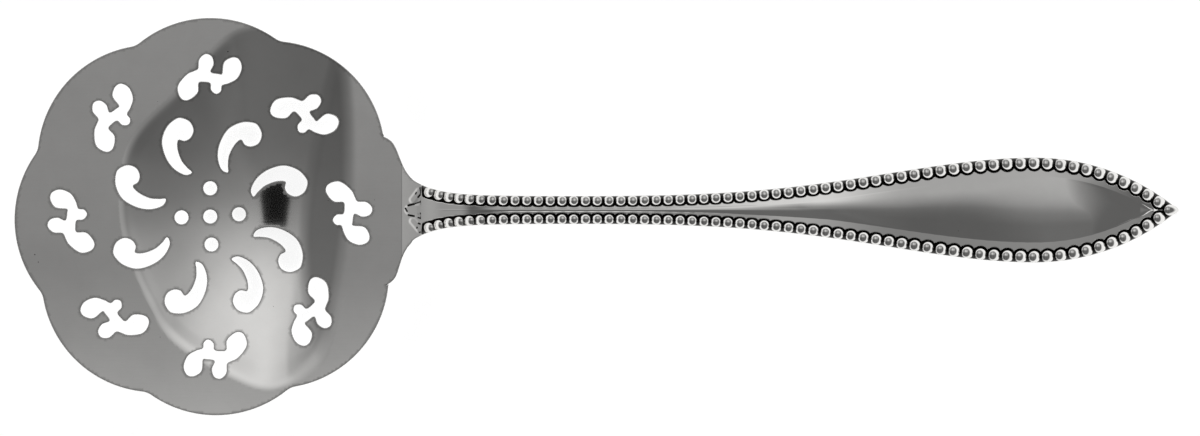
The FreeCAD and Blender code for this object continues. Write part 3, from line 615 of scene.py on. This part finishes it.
def beadMesh():  # domes on the ledge: round towards the field, straight out to the handle's edge
    draw = np.random.default_rng(beads["seed"])
    around = np.linspace(0, 2 * np.pi, beads["around"], endpoint=False)
    shares = np.array(beads["rings"])
    cap = beads["capSphere"]
    verts, faces, shades = [], [], []
    total = 0
    spots = [(x, y, side) for x, y in zip(beadX[:-1], beadY[:-1]) for side in (1, -1)]
    spots.append((beadX[-1], 0.0, 0))
    for x, y, side in spots:
        radius = beadDiameter(x) / 2 * draw.uniform(*beads["widthSpread"])
        high = beadDiameter(x) * beads["rise"] * draw.uniform(*beads["heightSpread"])
        near = 0.3
        ahead, behind = x + near, x - near
        climb = (ledge(ahead) - ledge(behind)) / (2 * near)
        s, n = np.cos(around), np.sin(around)
        if side == 0:  # the bead at the tip points along the handle and is drawn to a drop
            along, out = np.array([0.0, 1.0]), np.array([1.0, 0.0])
            toEdge = handle["tip"] - beads["tipGap"] - x
            s = s * (1 - beads["tipPinch"] * np.maximum(n, 0) ** 2)
        else:
            run = (halfWidth(ahead) - halfWidth(behind)) / (2 * near) * side
            along = np.array([1, run]) / math.hypot(1, run)
            out = np.array([-along[1], along[0]]) * side
            toEdge = beadInset(x)
        outer = n > 0
        squared = np.maximum(np.abs(s), np.abs(n)) ** beads["squareness"]
        s = np.where(outer, s / squared, s) * radius
        n = np.where(outer, np.minimum(n / squared * toEdge, toEdge), n * radius)
        ringS, ringN = shares[:, None] * s, shares[:, None] * n
        fall = np.where(ringN > 0, ringN / toEdge * beads["edgeFall"], ringN / radius)
        fall = np.minimum(np.hypot(ringS / radius, fall), 1)
        dome = high - radius * (cap - np.sqrt(np.maximum(cap ** 2 - fall ** 2, 0)))
        place = np.array([x, y * side]) + ringS[..., None] * along + ringN[..., None] * out
        floor = ledge(x) + climb * (place[..., 0] - x)
        rings = np.concatenate([place, (floor + dome)[..., None]], axis=-1)
        skirt = rings[-1:].copy()
        skirt[..., 2] = floor[-1] - beads["skirt"]
        rings = np.concatenate([rings, skirt])
        crown = np.array([[x, y * side, ledge(x) + high]])
        verts.append(np.vstack([crown, rings.reshape(-1, 3)]))
        # oxide and painted shade: a dark outline at each bead's rim and down its skirt
        shades.append(np.concatenate([[0], np.repeat(beads["ringOxideAndShade"], len(around))]))
        grid = total + 1 + np.arange(rings.shape[0] * len(around)).reshape(rings.shape[0], -1)
        turn = 1 if side >= 0 else -1
        nextOne = np.roll(grid, -turn, axis=1)
        fan = np.stack([np.full(len(around), total), grid[0], nextOne[0], nextOne[0]], axis=-1)
        quads = np.stack([grid[:-1], grid[1:], nextOne[1:], nextOne[:-1]], axis=-1).reshape(-1, 4)
        flip = np.cross(along, out) < 0
        made = np.vstack([fan, quads])
        faces.append(made[:, ::-1] if flip != (turn < 0) else made)
        total += len(verts[-1])
    return np.vstack(verts), np.vstack(faces), np.concatenate(shades)


def meanNormals(verts, faces):  # normals of the faces round each vertex, added up by area
    normals = np.zeros_like(verts)
    for corners in faces:
        corners = np.asarray(corners)
        if corners.ndim == 1:
            corners = corners[None]
        a, b, c, d = (verts[corners[:, k]] for k in (0, 1, 2, corners.shape[1] - 1))
        facing = np.cross(b - a, d - a) + np.cross(c - b, d - b)
        for k in range(corners.shape[1]):
            np.add.at(normals, corners[:, k], facing)
    return normals / np.maximum(np.linalg.norm(normals, axis=1, keepdims=True), 1e-12)


def linkObject(name, data):  # an object whose origin is the world's
    thing = bpy.data.objects.new(name, data)
    bpy.context.collection.objects.link(thing)
    return thing


def addMesh(name, verts, faces, normals, oxideAndShade, material):  # faces are groups of rows of corners
    mesh = bpy.data.meshes.new(name)
    faces = [tuple(dict.fromkeys(face)) for group in faces for face in np.asarray(group).tolist()]
    faces = [face for face in faces if len(face) > 2]
    mesh.from_pydata((verts * mm).tolist(), [], faces)
    mesh.polygons.foreach_set("use_smooth", np.ones(len(mesh.polygons), bool))
    # per-vertex amount of oxide and of painted shade, mixed to the dark colour in the material
    layer = mesh.attributes.new("oxideAndShade", "FLOAT", "POINT")
    layer.data.foreach_set("value", oxideAndShade.astype(np.float32))
    mesh.materials.append(material)
    mesh.normals_split_custom_set_from_vertices(normals.tolist())
    mesh.update()
    return linkObject(name, mesh)


# Finish
def linearColour(code):  # sRGB hex to the linear values that a shader takes
    values = [int(code[k:k + 2], 16) / 255 for k in (1, 3, 5)]
    return [v / 12.92 if v <= 0.04045 else ((v + 0.055) / 1.055) ** 2.4 for v in values] + [1]


def addNode(tree, kind, links, **settings):  # one node with its settings; links are values or other sockets
    node = tree.nodes.new(kind)
    for name, value in settings.items():
        setattr(node, name, value)
    for socket, value in links.items():
        if isinstance(value, bpy.types.NodeSocket):
            tree.links.new(value, node.inputs[socket])
        else:
            node.inputs[socket].default_value = value
    return node


def newMaterial(name):
    material = bpy.data.materials.new(name)
    material.use_nodes = True
    return material, material.node_tree, material.node_tree.nodes["Principled BSDF"]


# Sizes of the patterns are in millimetres
silver = {
    "bright": "#f0efed", "worn": "#e9e8e6", "oxideAndShade": "#161514", "speck": "#5a5856",
    "roughness": 0.03, "oxideRoughness": 0.5,
    "clouds": 9.0, "specks": 1.6, "speckPatches": 5.0, "speckSize": 0.085,
    "scratches": 0.35, "scratchStretch": 0.06, "scratchTurn": 0.12, "scratchDepth": 0.008,
    "scratchShow": 0.06,
}


# Hand-polished sterling: a bright, faintly clouded mirror with rare specks and hairlines, and matt black
# oxide where the polishing cloth didn't reach; the same black is painted shade on edges, strokes and round
# the beads
def sterlingSilver():
    material, tree, shader = newMaterial("polishedSterlingSilver")
    shader.inputs["Metallic"].default_value = 1.0
    place = addNode(tree, "ShaderNodeTexCoord", {}).outputs["Object"]
    clouds = addNode(tree, "ShaderNodeTexNoise", {
        "Vector": place, "Scale": 1 / (silver["clouds"] * mm), "Detail": 4.0, "Roughness": 0.6})
    cloudy = addNode(tree, "ShaderNodeMapRange", {
        "Value": clouds.outputs["Fac"], "From Min": 0.35, "From Max": 0.7, "To Min": 0.0, "To Max": 1.0})
    worn = addNode(tree, "ShaderNodeMix", {
        0: cloudy.outputs[0], 6: linearColour(silver["bright"]), 7: linearColour(silver["worn"])},
        data_type="RGBA")
    dots = addNode(tree, "ShaderNodeTexVoronoi", {
        "Vector": place, "Scale": 1 / (silver["specks"] * mm), "Randomness": 1.0})
    rare = addNode(tree, "ShaderNodeTexNoise", {
        "Vector": place, "Scale": 1 / (silver["speckPatches"] * mm), "Detail": 1.0})
    reach = addNode(tree, "ShaderNodeMapRange", {
        "Value": rare.outputs["Fac"], "From Min": 0.6, "From Max": 0.75, "To Min": 0.0,
        "To Max": silver["speckSize"]})
    speck = addNode(tree, "ShaderNodeMath", {0: dots.outputs["Distance"], 1: reach.outputs[0]},
                    operation="LESS_THAN")
    specked = addNode(tree, "ShaderNodeMix", {
        0: speck.outputs[0], 6: worn.outputs[2], 7: linearColour(silver["speck"])}, data_type="RGBA")
    oxideAndShade = addNode(tree, "ShaderNodeAttribute", {}, attribute_name="oxideAndShade")
    # dark colour where the attribute is high: oxide, and painted shade along edges, leaf strokes and round
    # the beads
    patinaAndShade = addNode(tree, "ShaderNodeMix", {
        0: oxideAndShade.outputs["Fac"], 6: specked.outputs[2], 7: linearColour(silver["oxideAndShade"])}, data_type="RGBA")
    tree.links.new(patinaAndShade.outputs[2], shader.inputs["Base Color"])
    rough = addNode(tree, "ShaderNodeMapRange", {
        "Value": oxideAndShade.outputs["Fac"], "To Min": silver["roughness"], "To Max": silver["oxideRoughness"]})
    tree.links.new(rough.outputs[0], shader.inputs["Roughness"])
    strokesAt = addNode(tree, "ShaderNodeMapping", {
        "Vector": place, "Rotation": (0, 0, silver["scratchTurn"]),
        "Scale": (silver["scratchStretch"], 1.0, 1.0)})
    hairlines = addNode(tree, "ShaderNodeTexNoise", {
        "Vector": strokesAt.outputs[0], "Scale": 1 / (silver["scratches"] * mm), "Detail": 3.0})
    bump = addNode(tree, "ShaderNodeBump", {
        "Height": hairlines.outputs["Fac"], "Strength": silver["scratchShow"],
        "Distance": silver["scratchDepth"] * mm})
    tree.links.new(bump.outputs[0], shader.inputs["Normal"])
    return material


silverFinish = sterlingSilver()
handleVerts, handleFaces, handleCap, handleShade, joinY = handleMesh()
print("handle shaped:", len(handleFaces), "faces")
bowlVerts, bowlFaces, bowlNormals, bowlShade = bowlMesh(joinY)
print("bowl shaped:", sum(len(group) for group in bowlFaces), "faces")
beadVerts, beadFaces, beadShade = beadMesh()
print("beads shaped:", len(beadFaces), "faces")

handleNormals = meanNormals(handleVerts, [handleFaces])
beadNormals = meanNormals(beadVerts, [beadFaces])
bowlPiece = addMesh("bowl", bowlVerts, bowlFaces, bowlNormals, bowlShade, silverFinish)
handlePiece = addMesh("handle", handleVerts, [handleFaces, handleCap], handleNormals, handleShade,
                      silverFinish)
beadPiece = addMesh("beads", beadVerts, [beadFaces], beadNormals, beadShade, silverFinish)
for piece in (bowlPiece, handlePiece, beadPiece):
    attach(piece, "root")
    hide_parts("tomato_server")
print("silver laid on")


# Studio: a pale floor, a soft tent of light with brighter and darker sides, and a camera straight above
studio = {
    "floor": "#c8c8c8", "floorGlow": 0.8, "floorSize": 3000.0, "floorLevel": -0.2,
    # each edge of light: what it does to the brightness, the direction that it runs in, where it starts and
    # ends along that direction, and its values there
    "light": [
        ("ADD", (0, 1, 0), -0.23, 0.09, 0.094, 0.275),
        ("ADD", (0, 1, 0), -0.06, 0.27, 0.02, 0.52),
        ("MULTIPLY", (1, 0.47, 0), -0.02, 0.04, 0.78, 0.99),
        ("MULTIPLY", (1, 0, 0), -0.82, -0.72, 3.3, 0.6),
        ("MULTIPLY", (1, 0, 0), -0.73, -0.39, 0.57, 1.12),
        ("MULTIPLY", (1, 0, 0), -0.50, 0.18, 0.51, 1.25),
        ("MULTIPLY", (1, 0, 0), 0.0, 0.33, 1.15, 0.54),
        ("MULTIPLY", (0, 1, 0), 0.50, 0.65, 1.0, 0.5),
        ("ADD", (1, 0, 0), 0.41, 0.58, 0.067, 0.108),
        ("MINIMUM", (1, 0, 0), 0.50, 0.68, 1.0, 0.13),
        ("MAXIMUM", (0, 0, -1), -0.60, -0.28, 0.0, 1.0),
    ],
}


def studioFloor():  # pale paper that the camera and mirrors see white, and that keeps the object's shade
    side, level = studio["floorSize"] / 2 * mm, studio["floorLevel"] * mm
    mesh = bpy.data.meshes.new("floor")
    corners = [(-side, -side, level), (side, -side, level), (side, side, level), (-side, side, level)]
    mesh.from_pydata(corners, [], [(0, 1, 2, 3)])
    material, tree, shader = newMaterial("palePaper")
    shader.inputs["Base Color"].default_value = linearColour(studio["floor"])
    shader.inputs["Roughness"].default_value = 0.9
    path = addNode(tree, "ShaderNodeLightPath", {})
    seen = addNode(tree, "ShaderNodeMath", {
        0: path.outputs["Is Camera Ray"], 1: path.outputs["Is Glossy Ray"]}, operation="MAXIMUM")
    strength = addNode(tree, "ShaderNodeMath", {0: seen.outputs[0], 1: studio["floorGlow"]},
                       operation="MULTIPLY")
    glow = addNode(tree, "ShaderNodeEmission", {"Color": (1, 1, 1, 1), "Strength": strength.outputs[0]})
    both = addNode(tree, "ShaderNodeAddShader", {0: shader.outputs[0], 1: glow.outputs[0]})
    tree.links.new(both.outputs[0], tree.nodes["Material Output"].inputs[0])
    mesh.materials.append(material)
    linkObject("floor", mesh)


def studioTent():  # brightness by direction: the edges of light, taken one after the other
    world = bpy.data.worlds.new("tent")
    bpy.context.scene.world = world
    world.use_nodes = True
    tree = world.node_tree
    tree.nodes["Background"].inputs["Color"].default_value = (1, 1, 1, 1)
    way = addNode(tree, "ShaderNodeTexCoord", {}).outputs["Generated"]
    level = 0.0
    for operation, direction, start, end, before, after in studio["light"]:
        along = addNode(tree, "ShaderNodeVectorMath", {0: way, 1: direction}, operation="DOT_PRODUCT")
        edge = addNode(tree, "ShaderNodeMapRange", {
            0: along.outputs["Value"], 1: start, 2: end, 3: before, 4: after},
            interpolation_type="SMOOTHSTEP")
        changed = addNode(tree, "ShaderNodeMath", {0: level, 1: edge.outputs[0]}, operation=operation)
        level = changed.outputs[0]
    tree.links.new(level, tree.nodes["Background"].inputs["Strength"])


# The camera's place, the level at which the frame is this wide, and the sensor's width
shot = {"x": 55.08, "y": -1.375, "height": 3008.0, "level": 8.0, "frame": 206.2, "sensor": 36.0}

# Dark card over the dish, in place of the lens that the polished dish reflects: the patch of the dish that it
# fills as seen from the camera, and the slant beyond which it is clear, so that the crease doesn't show it
card = {
    "patch": [(-2.8, 5.0), (1.1, 5.0), (1.8, 2.6), (1.0, -2.9), (-2.9, -2.8), (-3.5, 2.6)],
    "height": 90.0, "hood": 0.0040, "felt": "#101010",
}


def lensCard():  # each corner lies where the dish, as a paraboloid, sends the camera's ray at the patch
    bowlCurve = 4 * (bowl["rimTop"] - bowl["dishBottom"] - bowl["step"]) / bowl["meanRing"] ** 2
    shrink = 1 - bowlCurve * (card["height"] - bowl["dishBottom"])
    away = card["height"] / shot["height"]  # how far a ray from the camera has gone sideways at the card
    corners = [((x * shrink - (shot["x"] - x) * away) * mm, (y * shrink - (shot["y"] - y) * away) * mm,
                card["height"] * mm) for x, y in card["patch"]]
    mesh = bpy.data.meshes.new("lensCard")
    mesh.from_pydata(corners, [], [tuple(range(len(corners)))])
    material, tree, shader = newMaterial("blackFelt")
    shader.inputs["Base Color"].default_value = linearColour(card["felt"])
    shader.inputs["Roughness"].default_value = 1.0
    slant = addNode(tree, "ShaderNodeLayerWeight", {"Blend": 0.5}).outputs["Facing"]
    hood = addNode(tree, "ShaderNodeMath", {0: slant, 1: card["hood"]}, operation="GREATER_THAN")
    clear = addNode(tree, "ShaderNodeBsdfTransparent", {})
    shown = addNode(tree, "ShaderNodeMixShader", {
        0: hood.outputs[0], 1: shader.outputs[0], 2: clear.outputs[0]})
    tree.links.new(shown.outputs[0], tree.nodes["Material Output"].inputs[0])
    mesh.materials.append(material)
    piece = linkObject("lensCard", mesh)
    piece.visible_camera = piece.visible_diffuse = piece.visible_shadow = False


def studioCamera():  # far and straight above, so that the whole object is seen at one scale
    data = bpy.data.cameras.new("camera")
    data.sensor_width = shot["sensor"]
    data.lens = shot["sensor"] * (shot["height"] - shot["level"]) / shot["frame"]
    data.clip_end = 100.0
    camera = linkObject("camera", data)
    camera.location = (shot["x"] * mm, shot["y"] * mm, shot["height"] * mm)
    bpy.context.scene.camera = camera


studioFloor()
studioTent()
lensCard()
studioCamera()
bpy.context.scene.view_settings.view_transform = "Standard"
print("studio set")
